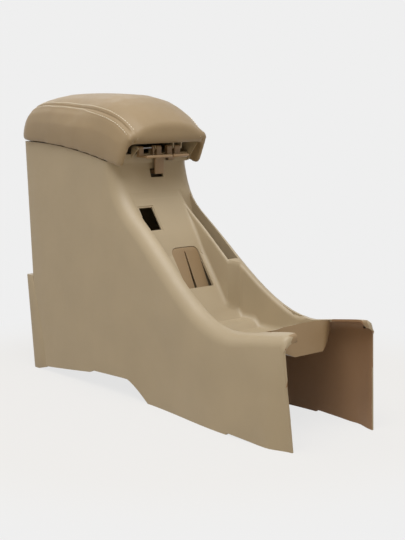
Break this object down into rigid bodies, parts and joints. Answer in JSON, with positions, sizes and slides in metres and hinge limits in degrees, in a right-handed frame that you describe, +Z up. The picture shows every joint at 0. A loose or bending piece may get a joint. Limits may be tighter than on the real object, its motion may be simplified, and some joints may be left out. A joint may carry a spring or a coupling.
{
  "type": "car centre armrest console",
  "caption": "Beige car centre console with a storage box, padded leather armrest lid, latch levers, map pocket and sloping front arms.",
  "frame": {"origin": "middle of the bounding box, at the surface it stands on", "axes": "+X towards the front of the car, +Y towards its left side, +Z up"},
  "size_m": [0.6089, 0.172, 0.434],
  "materials": {
    "shell_plastic": "fine grain, satin",
    "leather": "smooth, satin",
    "steel": "zinc plated",
    "rubber": "matte",
    "lever_plastic": "satin",
    "trim_plastic": "satin",
    "dark_plastic": "matte"
  },
  "bodies": {
    "console": {"console_shell": "shell_plastic", "rear_panel": "shell_plastic", "storage_bin": "trim_plastic", "bin_screws": "steel", "bin_mat": "rubber", "slot_cover": "trim_plastic", "slot_frame": "dark_plastic", "slot_frame_screws": "steel", "hinge_bracket_left": "steel", "hinge_bracket_right": "steel", "hinge_screws": "steel", "hinge_pin": "steel"},
    "tray": {"lid_tray": "trim_plastic", "tray_mat": "rubber", "bin_latch_pin": "steel"},
    "bin_latch": {"bin_latch_lever": "lever_plastic"},
    "lid": {"lid_base": "trim_plastic", "armrest_pad": "leather", "tray_latch_pin": "steel"},
    "tray_latch": {"tray_latch_lever": "lever_plastic"}
  },
  "joints": [
    {"name": "tray_hinge", "type": "hinge", "parent": "console", "child": "tray", "pos_m": [-0.2995, 0, 0.366], "axis": [0, -1, 0], "range_deg": [0, 80]},
    {"name": "lid_hinge", "type": "hinge", "parent": "tray", "child": "lid", "pos_m": [-0.2995, 0, 0.366], "axis": [0, -1, 0], "range_deg": [0, 80]},
    {"name": "bin_latch_pull", "type": "hinge", "parent": "tray", "child": "bin_latch", "pos_m": [-0.0475, 0, 0.359], "axis": [0, -1, 0], "range_deg": [0, 15], "stiffness_Nm_per_rad": 0.2, "springref_deg": -20.05},
    {"name": "tray_latch_pull", "type": "hinge", "parent": "lid", "child": "tray_latch", "pos_m": [-0.0475, 0, 0.359], "axis": [0, -1, 0], "range_deg": [0, 15], "stiffness_Nm_per_rad": 0.2, "springref_deg": -20.05}
  ]
}
